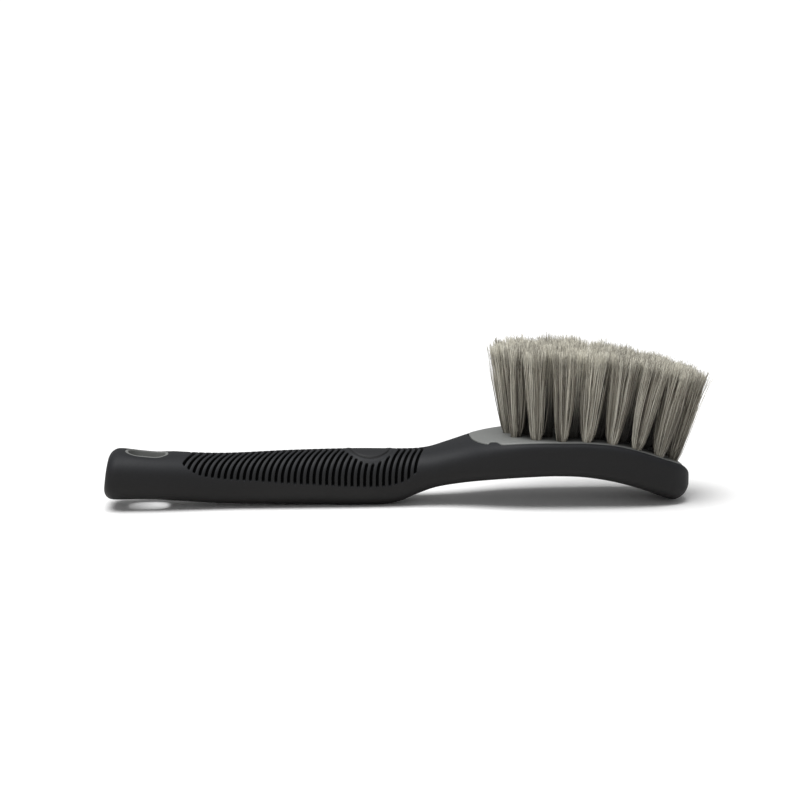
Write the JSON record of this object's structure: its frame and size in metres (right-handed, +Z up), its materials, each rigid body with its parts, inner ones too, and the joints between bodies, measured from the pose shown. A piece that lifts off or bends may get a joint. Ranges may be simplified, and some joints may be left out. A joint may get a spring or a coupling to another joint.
{
  "type": "wheel brush",
  "caption": "Short-handled wheel cleaning brush: curved hard plastic core in a soft ribbed skin, oblong hang hole, and fanned bristle tufts in a drilled oval face.",
  "frame": {"origin": "centre of the bounding box in X and Y, on the surface that the brush lies on", "axes": "+X along the brush from the butt of the handle to the end of the head, +Z up along the bristles"},
  "size_m": [0.2903, 0.0624, 0.0761],
  "materials": {
    "core": "satin moulded plastic",
    "skin": "matt soft-touch moulding",
    "wire": "drawn flat wire",
    "bristle": "fine filament, split at the tips"
  },
  "bodies": {
    "root": {"core": "core", "grip": "skin", "anchors": "wire", "tuft_01": "bristle", "tuft_02": "bristle", "tuft_03": "bristle", "tuft_04": "bristle", "tuft_05": "bristle", "tuft_06": "bristle", "tuft_07": "bristle", "tuft_08": "bristle", "tuft_09": "bristle", "tuft_10": "bristle", "tuft_11": "bristle", "tuft_12": "bristle", "tuft_13": "bristle", "tuft_14": "bristle", "tuft_15": "bristle", "tuft_16": "bristle", "tuft_17": "bristle", "tuft_18": "bristle", "tuft_19": "bristle", "tuft_20": "bristle", "tuft_21": "bristle", "tuft_22": "bristle", "tuft_23": "bristle", "tuft_24": "bristle", "tuft_25": "bristle", "tuft_26": "bristle", "tuft_27": "bristle", "tuft_28": "bristle", "tuft_29": "bristle", "tuft_30": "bristle", "tuft_31": "bristle", "tuft_32": "bristle", "tuft_33": "bristle", "tuft_34": "bristle", "tuft_35": "bristle", "tuft_36": "bristle", "tuft_37": "bristle", "tuft_38": "bristle", "tuft_39": "bristle", "tuft_40": "bristle", "tuft_41": "bristle", "tuft_42": "bristle", "tuft_43": "bristle", "tuft_44": "bristle"}
  },
  "joints": []
}
